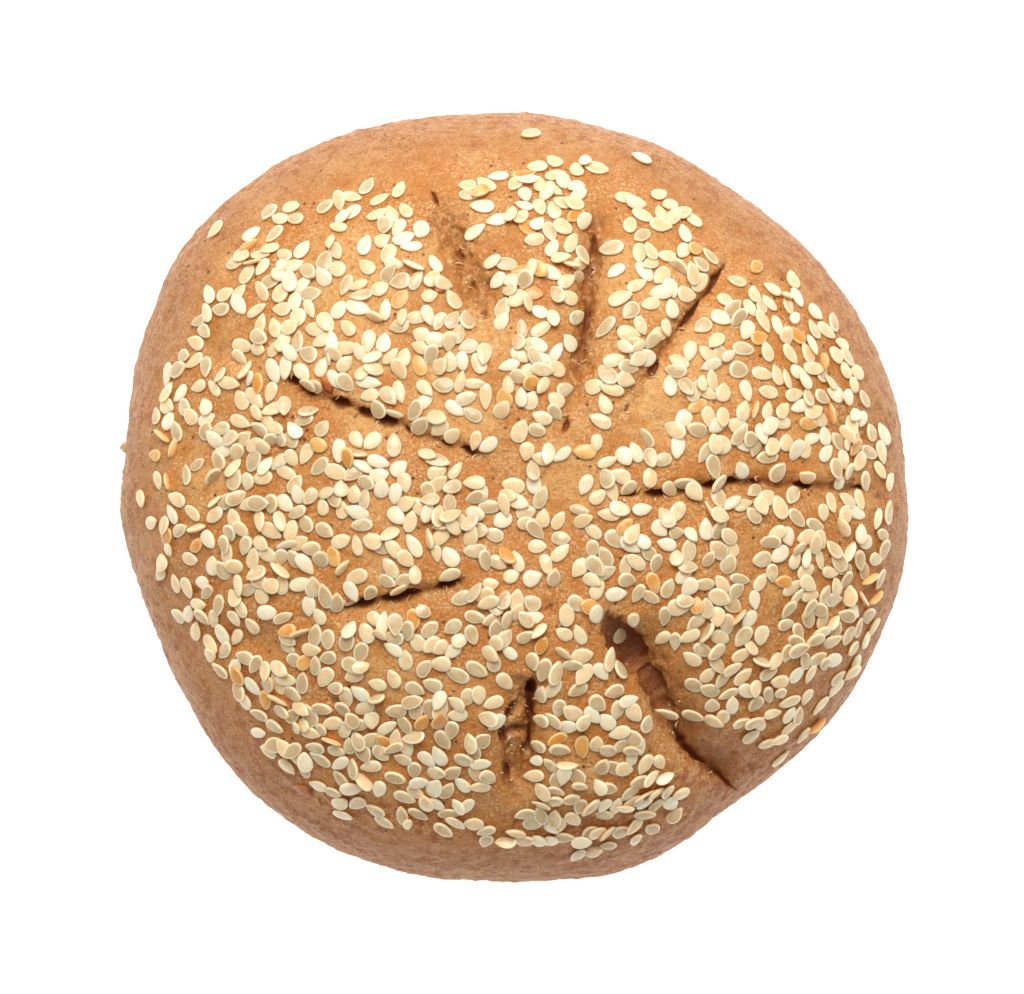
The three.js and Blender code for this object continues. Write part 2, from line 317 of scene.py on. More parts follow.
def valleys(x, y):
    """How far the cuts and the weak folds take the crust below the smooth dome, and its brown and painted
    shade.
    """
    total = np.zeros(x.shape)
    brown_and_shade = np.zeros(x.shape)
    for cut in CUTS.values():
        along, across, past_end, _ = along_and_across(cut["path"], x, y)
        fade = ease(along / cut["fade"][0]) * ease((1.0 - along) / cut["fade"][1]) * (past_end == 0)
        reach = np.where(across > 0, cut["reach"][0], cut["reach"][1])
        total += cut["depth"] * pillow(np.abs(across) / reach, cut["soft"]) * fade
        # The brown band beside each cut: partly baked brown, partly painted shade on its banks.
        stain = 1.0 - np.clip(np.abs(across) / bank(cut, "brown_and_shade", along, across), 0.0, 1.0) ** 1.5
        weaker = 1.0 - LESS_BROWN * cut["narrowing"] * np.clip(along, 0.0, 1.0)
        brown_and_shade = np.maximum(brown_and_shade, cut["brown_and_shade"][2] * stain * fade * weaker)
    for path, reach, depth in FOLD_PATHS:
        along, across, _, _ = along_and_across(path, x, y)
        ends = ease(4.0 * np.clip(along * (1.0 - along), 0.0, 0.25))
        fold = np.exp(-((across / (0.5 * reach)) ** 2)) * ends
        total += depth * fold
        brown_and_shade = np.maximum(brown_and_shade, FOLD_BROWN * fold)
    return total, brown_and_shade


def crust_height(x, y):
    """Height of the crust's upper side without its slits, in mm."""
    height, share = dome(x, y)
    inner = ease((0.98 - share) / 0.25)
    swell = LOBE_SWELL * inner * ease(share / 0.35)
    return height + swell - valleys(x, y)[0] * ease((1.0 - share) / 0.12)


def facing(height, x, y, step):
    """The way that a surface faces at each place. Its height is a function of x and y."""
    slope_x = (height(x + step, y) - height(x - step, y)) / (2 * step)
    slope_y = (height(x, y + step) - height(x, y - step)) / (2 * step)
    normal = np.stack([-slope_x, -slope_y, np.ones_like(slope_x)], axis=-1)
    return normal / np.linalg.norm(normal, axis=-1, keepdims=True)


# ------------------------------ the crust's mesh

GRID = 230  # squares across the top
SIDE_RINGS = 16  # from the belly down to the flat underside
BASE_RINGS = 5  # across the flat underside
FINE_REACH = 3.4  # how near a cut the squares are halved


def square_to_disc(a, b):
    """Squares on [-1, 1] mapped evenly onto a round disc, as an angle and a radius."""
    wide = np.abs(a) > np.abs(b)
    radius = np.where(wide, np.abs(a), np.abs(b))
    with np.errstate(divide="ignore", invalid="ignore"):
        angle = np.where(wide, (math.pi / 4) * (b / a), math.pi / 2 - (math.pi / 4) * (a / b))
    angle = np.where(np.where(wide, a, b) < 0, angle + math.pi, angle)
    return np.where(radius == 0, 0.0, angle), radius


def plain_crust():
    """A closed mesh of the roll. Its points hold x and y as shares of the outline's radius, and a marker: 0
    on the upper side, up to 1 round the lower side, and 2 on the underside."""
    mesh = bmesh.new()
    ticks = np.linspace(-1.0, 1.0, GRID + 1)
    a, b = np.meshgrid(ticks, ticks, indexing="ij")
    angle, radius = square_to_disc(a, b)
    share = np.sin(radius * math.pi / 2) ** 0.94
    grid = [[mesh.verts.new((share[i, j] * math.cos(angle[i, j]), share[i, j] * math.sin(angle[i, j]), 0.0))
             for j in range(GRID + 1)] for i in range(GRID + 1)]
    for i in range(GRID):
        for j in range(GRID):
            mesh.faces.new((grid[i][j], grid[i + 1][j], grid[i + 1][j + 1], grid[i][j + 1]))
    rim = [grid[i][0] for i in range(GRID)] + [grid[GRID][j] for j in range(GRID)]
    rim += [grid[i][GRID] for i in range(GRID, 0, -1)] + [grid[0][j] for j in range(GRID, 0, -1)]
    above = rim
    for k in range(1, SIDE_RINGS + BASE_RINGS):
        marker = min(k / SIDE_RINGS, 1.0) + (1.0 if k > SIDE_RINGS else 0.0)
        inward = max(0.0, (k - SIDE_RINGS) / BASE_RINGS)
        ring = [mesh.verts.new((v.co.x * (1.0 - inward), v.co.y * (1.0 - inward), marker)) for v in rim]
        for i in range(len(rim)):
            j = (i + 1) % len(rim)
            mesh.faces.new((above[i], ring[i], ring[j], above[j]))
        above = ring
    centre = mesh.verts.new((0.0, 0.0, 2.0))
    for i in range(len(rim)):
        mesh.faces.new((above[i], centre, above[(i + 1) % len(rim)]))
    return mesh


def refine_near_cuts(mesh):
    """Halves the squares beside the cuts, so that their lips and walls are crisp."""
    upper = [v for v in mesh.verts if v.co.z == 0.0]
    place = np.array([v.co[:2] for v in upper])
    radius = outline_radius(place[:, 0], place[:, 1])
    x, y = place[:, 0] * radius, place[:, 1] * radius
    close = np.zeros(len(upper), bool)
    for cut in CUTS.values():
        _, across, past_end, _ = along_and_across(cut["path"], x, y)
        close |= (np.abs(across) < FINE_REACH) & (past_end < 1.5)
    near = {v for v, flag in zip(upper, close) if flag}
    edges = [e for e in mesh.edges if e.verts[0] in near and e.verts[1] in near]
    bmesh.ops.subdivide_edges(mesh, edges=edges, cuts=1, use_grid_fill=True)


def slit_shape(along, slits):
    """Half gap, depth and lean of a cut's slits at a share along its route."""
    gap, deep, lean = (np.zeros(along.shape) for _ in range(3))
    for start, end, wide, depth, leaning in slits:
        t = np.clip((along - start) / (end - start), 0.0, 1.0)
        lens = np.sin(math.pi * t) ** 0.75
        gap = np.maximum(gap, 0.5 * wide * lens)
        deep = np.maximum(deep, depth * lens)
        lean = lean + leaning * lens
    return gap, deep, lean


SLIT_NEAR = 5.5  # nothing further from a cut's route is moved
SLIT_PULL = 2.2  # how far past its lip a slit draws the crust aside
LIP_RISE = 0.18
LIP_WIDTH = 0.7
WALL_WIDTH = 0.5  # of the crust that folds down into a slit, on each side
FULL_DEPTH = 2.0  # from this depth on, the whole wall width folds down


def open_slits(place, upper):
    """Opens every slit in the crust: the upper side's vertices part sideways and drop."""
    place = place.copy()
    painted_recess_shade = np.zeros(len(place))
    for number, cut in enumerate(CUTS.values()):
        x, y = place[:, 0], place[:, 1]
        along, across, past_end, tangent = along_and_across(cut["path"], x, y)
        near = upper & (np.abs(across) < SLIT_NEAR) & (past_end == 0.0)
        spots = place[near]
        wobble = 0.26 * noise_at(spots, 2.4, 2, 11.0 * number)
        wobble += 0.14 * noise_at(spots, 0.8, 1, 5.0 * number)
        aside = across[near] + wobble
        far = np.abs(aside)
        gap, deep, lean = slit_shape(along[near], cut["slits"])
        gap = gap * (1.0 + 0.45 * noise_at(spots, 2.2, 1, 3.0 + number))
        band = gap + WALL_WIDTH * np.minimum(deep, FULL_DEPTH) / FULL_DEPTH
        reach = band + SLIT_PULL
        t = np.clip(far / np.maximum(band, 1e-6), 0.0, 1.0)
        on_wall = (far < band) & (deep > 0.02)
        outside = (~on_wall) & (far < reach) & (deep > 0.02)
        wall_across = gap * (2.0 * t - t * t)
        outer_across = gap + (far - band) * (reach - gap) / np.maximum(reach - band, 1e-6)
        moved = np.where(on_wall, wall_across, np.where(outside, outer_across, far)) * np.sign(aside)
        drop = np.where(on_wall, deep * (1.0 - t**1.4), 0.0)
        moved = moved + lean * drop / np.maximum(deep, 1e-6)
        lip = LIP_RISE * np.minimum(deep, 3.0) / 3.0 * np.exp(-(far - band) / LIP_WIDTH)
        lip = np.where(outside, lip, 0.0)
        shift = moved - aside
        place[near, 0] += -tangent[near, 1] * shift
        place[near, 1] += tangent[near, 0] * shift
        place[near, 2] += lip - drop
        # Painted shade on the slit walls, darker where the slit is deep and its gap narrow.
        closeness = np.clip(0.9 / np.maximum(gap, 0.1), 0.45, 1.0)
        shaded = np.where(on_wall, np.minimum(1.0, 0.3 + (1.0 - t)), 0.0)
        shaded = shaded * np.minimum(deep / 1.2, 1.0) * closeness
        painted_recess_shade[near] = np.maximum(painted_recess_shade[near], shaded)
    return place, painted_recess_shade


def hollow_depth(x, y):
    """Depth of the ragged hollows beside the cuts."""
    spots = np.stack([x, y, np.zeros_like(x)], axis=1)
    deep = np.zeros(x.shape)
    for (px, py), heading, length, width, depth in HOLLOWS:
        turn = math.radians(heading)
        along = (x - px) * math.cos(turn) + (y - py) * math.sin(turn)
        across = (y - py) * math.cos(turn) - (x - px) * math.sin(turn)
        distance = np.hypot(along / length, across / width)
        near = distance < 2.0
        ragged = distance[near] + 0.30 * noise_at(spots[near], 1.4, 2, px)
        deep[near] = np.maximum(deep[near], depth * ease((1.22 - ragged) / 0.45))
    return deep


def floury(x, y):
    """How floury the crust is at each place, 0 to 1."""
    spots = [np.exp(-(((x - px) ** 2 + (y - py) ** 2) / radius**2)) for (px, py), radius in FLOURY]
    return np.max(spots, axis=0)


FIBRE_LENGTH = 2.6
FIBRE_WIDTH = 0.75
FIBRE_HEIGHT = 0.42


def torn_band(x, y):
    """How torn the crumb is at each place, 0 to 1, and how high its fibres are, which run along the cut."""
    band = np.zeros(x.shape)
    height = np.zeros(x.shape)
    for number, cut in enumerate(CUTS.values()):
        start, end, left, right, rough = cut["torn"]
        along, across, past_end, _ = along_and_across(cut["path"], x, y)
        reach = np.where(across > 0, left, right)
        near = (np.abs(across) < 1.25 * reach) & (past_end == 0)
        spots = np.stack([x[near], y[near], np.zeros(near.sum())], axis=1)
        ragged = np.abs(across[near]) / reach[near] + 0.35 * noise_at(spots, 2.0, 2, number)
        ends = ease((along[near] - start) / 0.1) * ease((end - along[near]) / 0.1)
        amount = ease(2.2 * (1.0 - ragged)) * ends
        length = 0.5 * len(cut["path"])
        drawn = np.stack([along[near] * length / FIBRE_LENGTH, across[near] / FIBRE_WIDTH,
                          np.full(near.sum(), number * 7.3)], axis=1)
        ridges = 1.0 - 2.2 * np.abs(noise_at(drawn, 1.0, 2)) + 0.5 * noise_at(spots, 0.8, 2, 3.0)
        band[near] = np.maximum(band[near], amount)
        height[near] += FIBRE_HEIGHT * rough * amount * (ridges - 0.6)
    return band, height


PITS = 190  # little holes where gas broke through the crust
PIT_RADIUS = (0.25, 0.75)
PIT_DEPTH = (0.15, 0.6)
# Painted shade in the pits and the torn hollows, darker the deeper they are.
PIT_SHADE = 0.7  # how dark a pit is for each mm of its depth
HOLLOW_SHADE = 0.62


def pit_places():
    """Pits lie all over, and more of them in the bare rim and in the valleys."""
    places = []
    while len(places) < PITS:
        spot = rng.uniform(-56.0, 56.0, 2)
        share = np.hypot(*spot) / outline_radius(spot[0], spot[1])
        if share > 0.96:
            continue
        brown_and_shade = valleys(np.array([spot[0]]), np.array([spot[1]]))[1][0]
        if rng.random() < 0.2 + 0.5 * (share > 0.84) + 0.5 * min(1.0, brown_and_shade):
            places.append((*spot, rng.uniform(*PIT_RADIUS), rng.uniform(*PIT_DEPTH)))
    return places


def shaped_crust(mesh):
    """Every vertex in its place, and the attributes that the crust's material reads."""
    mesh.verts.ensure_lookup_table()
    raw = np.array([v.co[:] for v in mesh.verts])
    radius = outline_radius(raw[:, 0], raw[:, 1])
    marker = raw[:, 2]
    upper = marker == 0.0
    round_down = np.clip(marker, 0.0, 1.0)
    angle = round_down * math.pi / 2
    inward = BASE_SHARE + (1.0 - BASE_SHARE) * np.cos(angle)
    x = raw[:, 0] * radius * inward
    y = raw[:, 1] * radius * inward
    z = np.where(upper, crust_height(x, y), BELLY_HEIGHT * (1.0 - np.sin(angle)))
    place = np.stack([x, y, z], axis=1)
    share = np.where(upper, np.hypot(x, y) / radius, 1.0)

    normal = np.where(upper[:, None], facing(crust_height, x, y, 0.5), 0.0)
    side_normal = np.stack([x, y, np.zeros_like(x)], axis=1)
    side_normal /= np.maximum(np.linalg.norm(side_normal, axis=1), 1e-6)[:, None]
    downward = np.array([0, 0, 1.0]) * np.sin(angle)[:, None]
    side_normal = side_normal * np.cos(angle)[:, None] - downward
    blend = ease((share - 0.97) / 0.03)[:, None]
    normal = np.where(upper[:, None], normal * (1 - blend) + side_normal * blend, side_normal)

    grounded = ease(place[:, 2] / 4.0)
    lumps = 0.55 * noise_at(place, 17.0, 2, 1.3) + 0.22 * noise_at(place, 6.0, 2, 4.1)
    grain = (0.12 + 0.07 * ease((share - 0.8) / 0.15)) * noise_at(place, 1.3, 3, 9.2)
    hollow = np.where(upper, hollow_depth(x, y), 0.0)
    band, fibres = torn_band(x, y)
    band = np.where(upper, band, 0.0)
    fibres = np.where(upper, fibres, 0.0)
    place = place + normal * ((lumps + grain) * grounded - hollow + fibres)[:, None]

    place, painted_recess_shade = open_slits(place, upper)
    # Painted shade in the torn hollows.
    painted_recess_shade = np.maximum(painted_recess_shade, HOLLOW_SHADE * np.clip(hollow, 0.0, 1.0))
    brown_and_shade = valleys(x, y)[1]
    for px, py, wide, deep in pit_places():
        near = upper & (np.abs(x - px) < 3 * wide) & (np.abs(y - py) < 3 * wide)
        fall = np.exp(-((x[near] - px) ** 2 + (y[near] - py) ** 2) / wide**2)
        place[near] -= normal[near] * (deep * fall)[:, None]
        # Painted shade in each pit.
        painted_recess_shade[near] = np.maximum(painted_recess_shade[near], PIT_SHADE * fall * deep)
    low = 1.0 - place[:, 2] / BELLY_HEIGHT
    attributes = {"painted_recess_shade": painted_recess_shade, "brown_and_shade": brown_and_shade, "torn": band, "share": share, "low": low}
    return place, attributes | {"floury": np.where(upper, floury(x, y), 0.0)}


def added(name, data):
    """An object of the scene, made from its data."""
    thing = bpy.data.objects.new(name, data)
    bpy.context.scene.collection.objects.link(thing)
    return thing


def joined_object(name, parts):
    """One object from many parts: each one's points in mm, its faces, and its values for each attribute."""
    verts, polygons, attributes = [], [], {}
    for points, faces, values in parts:
        base = len(verts)
        verts.extend(points)
        polygons.extend(tuple(base + k for k in face) for face in faces)
        for attribute, value in values.items():
            attributes.setdefault(attribute, []).extend(np.broadcast_to(value, len(points)))
    data = bpy.data.meshes.new(name)
    data.from_pydata([tuple(point * MM) for point in verts], [], polygons)
    data.update()
    return mesh_object(name, data, attributes)


def mesh_object(name, data, attributes):
    """A smooth object from a mesh, with one value per point for each named attribute."""
    for attribute, values in attributes.items():
        layer = data.attributes.new(attribute, "FLOAT", "POINT")
        layer.data.foreach_set("value", np.asarray(values, np.float32))
    data.polygons.foreach_set("use_smooth", np.ones(len(data.polygons), bool))
    return added(name, data)


def make_crust():
    mesh = plain_crust()
    refine_near_cuts(mesh)
    place, attributes = shaped_crust(mesh)
    data = bpy.data.meshes.new("crust")
    bmesh.ops.recalc_face_normals(mesh, faces=mesh.faces)
    mesh.to_mesh(data)
    mesh.free()
    data.vertices.foreach_set("co", (place * MM).astype(np.float32).ravel())
    data.update()
    return mesh_object("crust", data, attributes)


# ------------------------------ the seeds

SEED_COUNT = 1250
SEED_LENGTH = 3.12
SEED_WIDTH = 1.98
SEED_THICKNESS = 0.72
SEEDED_EDGE = [  # how far out the seeds reach: [degrees from +X towards +Y, share of the outline]
    [0, 0.965], [24, 0.945], [38, 0.91], [46, 0.85], [58, 0.89], [70, 0.88], [84, 0.905], [96, 0.84],
    [108, 0.83], [118, 0.87], [130, 0.92], [145, 0.88], [165, 0.93], [185, 0.95], [199, 0.935],
    [215, 0.885], [230, 0.91], [243, 0.905], [257, 0.89], [270, 0.91], [282, 0.95], [296, 0.94],
    [308, 0.93], [316, 0.985], [334, 0.985], [346, 0.975],
]


def closed_faces(rings, around):
    """Faces of a closed form made of one point, then rings of points, then one point."""
    faces = [(0, 1 + i, 1 + (i + 1) % around) for i in range(around)]
    last = 1 + (rings - 1) * around
    for near in range(1, last, around):
        far = near + around
        for i in range(around):
            j = (i + 1) % around
            faces.append((near + i, far + i, far + j, near + j))
    return faces + [(last + (i + 1) % around, last + i, last + around) for i in range(around)]


def seed_template(around=18):
    """A seed whose half sizes are 1, with its tip at +X: its points, its faces, and how far out to the rim
    each point lies."""
    top = [(0.0, 1.0), (0.42, 0.95), (0.68, 0.83), (0.85, 0.64), (0.94, 0.42), (0.985, 0.20)]
    bottom = [(0.94, -0.36), (0.62, -0.80)]
    rings = top[1:] + [(1.0, 0.0)] + bottom
    angles = np.arange(around) * 2 * math.pi / around
    ex = np.cos(angles)
    ey = np.sin(angles) * (1.0 - 0.12 * ex) * (1.0 - 0.24 * ease((ex - 0.30) / 0.70))
    verts = [(-0.1, 0.0, top[0][1])]
    edge = [0.0]
    for reach, height in rings:
        for cx, cy in zip(ex, ey):
            verts.append((-0.1 + (cx + 0.1) * reach, cy * reach, height))
            edge.append(reach if height > 0 else 1.0)
    verts.append((-0.1, 0.0, -0.95))
    edge.append(1.0)
    return np.array(verts), closed_faces(len(rings), around), np.array(edge)


class Ground:
    """The crust's finished upper side as a square grid of heights in mm, which the seeds are laid on."""

    REACH = 60.0
    STEP = 0.4

    def __init__(self, crust):
        points = [v.co for v in crust.data.vertices]
        tree = BVHTree.FromPolygons(points, [p.vertices for p in crust.data.polygons])
        self.count = int(2 * self.REACH / self.STEP) + 1
        ticks = np.linspace(-self.REACH, self.REACH, self.count)
        self.x, self.y = np.meshgrid(ticks, ticks, indexing="ij")
        self.heights = np.full(self.x.shape, BELLY_HEIGHT)
        down = Vector((0, 0, -1))
        for i in range(self.count):
            for j in range(self.count):
                hit = tree.ray_cast(Vector((self.x[i, j] * MM, self.y[i, j] * MM, 0.1)), down)[0]
                if hit is not None:
                    self.heights[i, j] = max(hit.z / MM, BELLY_HEIGHT)

    def height(self, x, y):
        a = np.clip((x + self.REACH) / self.STEP, 0, self.count - 1.001)
        b = np.clip((y + self.REACH) / self.STEP, 0, self.count - 1.001)
        i, j = a.astype(int), b.astype(int)
        a, b = a - i, b - j
        h = self.heights
        low = h[i, j] * (1 - a) + h[i + 1, j] * a
        high = h[i, j + 1] * (1 - a) + h[i + 1, j + 1] * a
        return low * (1 - b) + high * b

    def normal(self, x, y):
        return facing(self.height, x, y, 0.9)


def clear_of_cuts(x, y):
    """How willing a seed is to lie at a place: 1 on the lobes, 0 down in a valley."""
    free = np.ones(x.shape)
    for cut in CUTS.values():
        along, across, past_end, _ = along_and_across(cut["path"], x, y)
        start = bank(cut, "bare", along, across)
        free *= ease((np.hypot(across, past_end) - start) / (0.7 + 0.4 * start))
    for (px, py), radius in BARE_SPOTS:
        free *= 0.04 + 0.96 * ease((np.hypot(x - px, y - py) / radius - 0.6) / 0.6)
    return free


def seed_wish(ground):
    """How thickly the seeds lie at each point of the ground's grid."""
    x, y = ground.x.ravel(), ground.y.ravel()
    share = np.hypot(x, y) / outline_radius(x, y)
    edge = periodic(SEEDED_EDGE, np.degrees(np.arctan2(y, x)))
    patchy = 0.72 + 0.55 * noise_at(np.stack([x, y, np.zeros_like(x)], axis=1), 7.0, 1, 2.7)
    slope = 1.0 / np.maximum(ground.normal(x, y)[:, 2], 0.45)
    middle = 0.75 + 0.25 * ease((np.hypot(x - 4.5, y + 1.5) - 5.0) / 9.0)
    return ease((edge - share) / 0.05) * clear_of_cuts(x, y) * np.maximum(patchy, 0.1) * slope * middle


CHOICES = 4  # places compared for each seed, of which the roomiest is taken
LEAST_ROOM = 1.05  # between two seeds' middles


def sow(ground):
    """Places of the seeds, the CAD model's own first: (x, y) in mm."""
    cad = sorted(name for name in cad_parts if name.startswith("sesame_seed"))
    places = np.zeros((SEED_COUNT, 2))
    for i, name in enumerate(cad):
        low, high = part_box(name)
        places[i] = (low[0] + high[0]) / 2 / MM, (low[1] + high[1]) / 2 / MM
    places[len(cad) : len(cad) + len(STRAY_SEEDS)] = STRAY_SEEDS
    wish = seed_wish(ground)
    cells = rng.choice(wish.size, SEED_COUNT * 3 * CHOICES, p=wish / wish.sum())
    tries = np.stack([ground.x.ravel()[cells], ground.y.ravel()[cells]], axis=1)
    tries += rng.uniform(-0.5, 0.5, tries.shape) * ground.STEP
    count = len(cad) + len(STRAY_SEEDS)
    for start in range(0, len(tries), CHOICES):
        group = tries[start : start + CHOICES]
        room = np.min(np.linalg.norm(group[:, None] - places[None, :count], axis=2), axis=1)
        best = int(np.argmax(room))
        if room[best] > LEAST_ROOM:
            places[count] = group[best]
            count += 1
        if count == SEED_COUNT:
            break
    return places[:count], cad


# Points of a seed's underside that may touch what is below, and of its top that a later seed may lie on.
FOOT = np.array([(p, q) for p in (-1, -0.5, 0, 0.5, 1) for q in (-0.8, 0, 0.8) if p * p + q * q < 1.5])
SEED_TOP = np.array([(0, 0), (0.8, 0), (-0.8, 0), (0, 0.8), (0, -0.8), (0.5, 0.5), (0.5, -0.5),
                     (-0.55, 0.6), (-0.55, -0.6), (0.4, 0), (-0.4, 0)])
TILTS = np.linspace(-0.5, 0.5, 11)
PITCHES, BANKS = (tilt.ravel() for tilt in np.meshgrid(TILTS, TILTS))
TILT_COST = 0.08  # how strongly a flat seed is preferred
TRIED_HEADINGS = 3
SIZE_SPREAD = (0.09, 0.11, 0.14)  # of the length, width and thickness
SIZE_LIMITS = (0.72, 1.25)
NEIGHBOUR_REACH = 2.6
ON_EDGE = 0.05  # share of the seeds that lie on their narrow side
SUNK = 0.40  # how much of its half thickness a seed sinks in


def settle(place, normal, heading, half, under, ground):
    """The lowest plane on which a seed clears the crust and the seeds under it: lift, pitch and bank."""
    side = np.cross(normal, heading)
    foot = place + np.outer(FOOT[:, 0] * half[0], heading) + np.outer(FOOT[:, 1] * half[1], side)
    crust = np.stack([foot[:, 0], foot[:, 1], ground.height(foot[:, 0], foot[:, 1])], axis=1)
    below = np.vstack([crust, under]) - place
    along, across, up = below @ heading, below @ side, below @ normal
    covered = (along / half[0]) ** 2 + (across / half[1]) ** 2 < 0.85
    along, across, up = along[covered], across[covered], up[covered]
    needed = np.max(up[:, None] - np.outer(along, PITCHES) - np.outer(across, BANKS), axis=0)
    best = int(np.argmin(needed + TILT_COST * (PITCHES**2 + BANKS**2)))
    return needed[best], PITCHES[best], BANKS[best]


def unit(vector):
    """The same direction, of length 1."""
    return vector / np.linalg.norm(vector)


def lay_seed(place, normal, placed, ground):
    """One seed's centre, axes and half sizes, resting on the crust and on the seeds laid before it."""
    half = np.clip(rng.normal(1.0, SIZE_SPREAD), *SIZE_LIMITS)
    half = half * np.array([SEED_LENGTH, SEED_WIDTH, SEED_THICKNESS]) / 2
    under = placed[np.linalg.norm(placed - place, axis=1) < NEIGHBOUR_REACH]
    options = []
    for turn in rng.uniform(0, 2 * math.pi, TRIED_HEADINGS):
        heading = np.array([math.cos(turn), math.sin(turn), 0.0])
        heading = unit(heading - normal * (heading @ normal))
        options.append((*settle(place, normal, heading, half, under, ground), heading))
    lift, pitch, bank, heading = min(options, key=lambda option: option[0])
    side = unit(np.cross(normal, heading) + normal * bank)
    heading = unit(heading + normal * pitch)
    up = unit(np.cross(heading, side))
    side = np.cross(up, heading)
    centre = place + normal * lift + up * half[2] * (1.0 - SUNK)
    if rng.random() < ON_EDGE:
        roll = math.radians(rng.uniform(45, 80)) * rng.choice([-1, 1])
        side, up = side * math.cos(roll) + up * math.sin(roll), up * math.cos(roll) - side * math.sin(roll)
        centre = centre + normal * half[1] * 0.35
    return {"centre": centre, "axes": np.array([heading, side, up]), "half": half}


def lay_seeds(ground):
    """Every seed, in the order of its place, and the names of the CAD seeds, which come first."""
    places, cad = sow(ground)
    heights = ground.height(places[:, 0], places[:, 1])
    spots = np.column_stack([places, heights])
    normals = ground.normal(places[:, 0], places[:, 1])
    placed = np.zeros((0, 3))
    seeds = [None] * len(places)
    for i in rng.permutation(len(places)):
        seed = lay_seed(spots[i], normals[i], placed, ground)
        seeds[i] = seed
        across_top = (SEED_TOP * seed["half"][:2]) @ seed["axes"][:2]
        top = seed["centre"] + across_top + seed["axes"][2] * seed["half"][2] * 0.75
        placed = np.vstack([placed, top])
    return seeds, cad


SHADES = {  # share of the seeds that each kind has
    "cream": 0.43,
    "ivory": 0.20,
    "translucent": 0.33,
    "toasted": 0.04,
}


def chosen_shade(place):
    """The shade of one seed. The darker clear seeds are commoner to the south, partly as painted shade."""
    chances = np.array(list(SHADES.values()))
    # More of the darker clear seeds towards the south, away from the key light, partly as painted shade.
    chances[list(SHADES).index("translucent")] *= 0.5 + 1.3 * ease((30.0 - place[1]) / 60.0)
    return rng.choice(list(SHADES), p=chances / chances.sum())


def shaped_seed(template, seed):
    """One seed's points in mm. Each seed is bent, pointed, blunted, cupped and dented in its own way."""
    local = template.copy()
    bend = rng.normal(0.0, 0.05)
    pointed = rng.uniform(-0.02, 0.14)
    blunt = rng.uniform(-0.18, 0.22) * ease(local[:, 0])
    cup = rng.uniform(-0.1, 0.25)
    dent = rng.normal(0.0, 0.12)
    local[:, 1] = local[:, 1] * (1.0 - pointed * local[:, 0]) * (1.0 + blunt) + bend * local[:, 0] ** 2
    local[:, 2] += cup * (local[:, 0] ** 2 - 0.4) + dent * local[:, 0] * local[:, 1]
    return (local * seed["half"]) @ seed["axes"] + seed["centre"]


def seed_parts(seeds):
    """Each seed's points, faces and attribute values."""
    template, faces, edge = seed_template()
    for seed in seeds:
        points = shaped_seed(template, seed)
        yield points, faces, {"tone": rng.random(), "edge": edge, "point": template[:, 0]}


def make_seeds(ground):
    """One piece for each shade of seed. Each stands for the CAD seeds that lie in the same places."""
    seeds, cad = lay_seeds(ground)
    shade_of = [chosen_shade(seed["centre"]) for seed in seeds]
    pieces = {}
    for shade in SHADES:
        members = [i for i in range(len(seeds)) if shade_of[i] == shade]
        piece = joined_object("sesame_seeds_" + shade, seed_parts([seeds[i] for i in members]))
        pieces[shade] = (piece, [cad[i] for i in members if i < len(cad)])
    return pieces


# ------------------------------ torn fibres

FIBRES_PER_SLIT = 2
CRUMB_COUNT = 90
CRUMB_RADIUS = (0.10, 0.24)
CRUMB_SIDES = 6
BRAN_FLAKES = [  # place and heading in degrees
    [-10.1, 29.4, 60], [-25.9, 16.3, 110], [-17.8, 5.5, 10], [-44.6, -7.2, 0], [-29.4, -41.2, 160],
]
BRAN_FLAKE_SIZE = (1.5, 0.8, 0.25)  # half its length, width and thickness
RIM_LUMPS = [[-54.8, 7.1, 0.8], [-55.0, 3.6, 0.6], [36.4, -38.2, 0.7]]  # place and radius


def strand(points, radius, sides=5):
    """A thin tube through points, pointed at both ends."""
    tangent = np.gradient(points, axis=0)
    verts, faces = [], []
    for k, (point, way) in enumerate(zip(points, tangent)):
        across = unit(np.cross(way, (0.3, 0.1, 1.0)))
        up = unit(np.cross(across, way))
        thick = radius * math.sin(math.pi * (k + 0.6) / (len(points) + 0.2)) ** 0.6
        for n in range(sides):
            turn = 2 * math.pi * n / sides
            verts.append(point + thick * (across * math.cos(turn) + up * math.sin(turn)))
    for k in range(len(points) - 1):
        for n in range(sides):
            m = (n + 1) % sides
            faces.append((k * sides + n, k * sides + m, (k + 1) * sides + m, (k + 1) * sides + n))
    faces.append(tuple(reversed(range(sides))))
    faces.append(tuple(range(len(verts) - sides, len(verts))))
    return verts, faces


def place_on(path, share):
    """The point at a share along a path, and the ways forward and to the left from there."""
    i = min(int(share * (len(path) - 1)), len(path) - 2)
    forward = unit(path[i + 1] - path[i])
    return path[i], forward, np.array([-forward[1], forward[0]])


def slit_strands(ground):
    """Fibres of dough that still hang across the slits or curl up from their lips."""
    for cut in CUTS.values():
        for start, end, wide, _, _ in cut["slits"]:
            for _ in range(FIBRES_PER_SLIT):
                middle, forward, left = place_on(cut["path"], rng.uniform(start, end))
                side = rng.choice([-1.0, 1.0])
                foot = middle + left * side * (0.5 * wide + 0.55)
                reach = rng.uniform(0.35, 0.9) * (0.8 + 0.4 * wide)
                drift = rng.uniform(-0.8, 0.8)
                t = np.linspace(0.0, 1.0, 7)
                flat = foot + np.outer(t, forward * drift - left * side * reach)
                flat += np.outer(np.sin(math.pi * t), forward) * rng.uniform(-0.35, 0.35)
                rise = 0.05 + rng.uniform(0.1, 0.45) * np.sin(math.pi * t * 0.8)
                height = ground.height(np.full(7, foot[0]), np.full(7, foot[1])) - 0.35 * t
                yield strand(np.column_stack([flat, height + rise]), rng.uniform(0.08, 0.17))


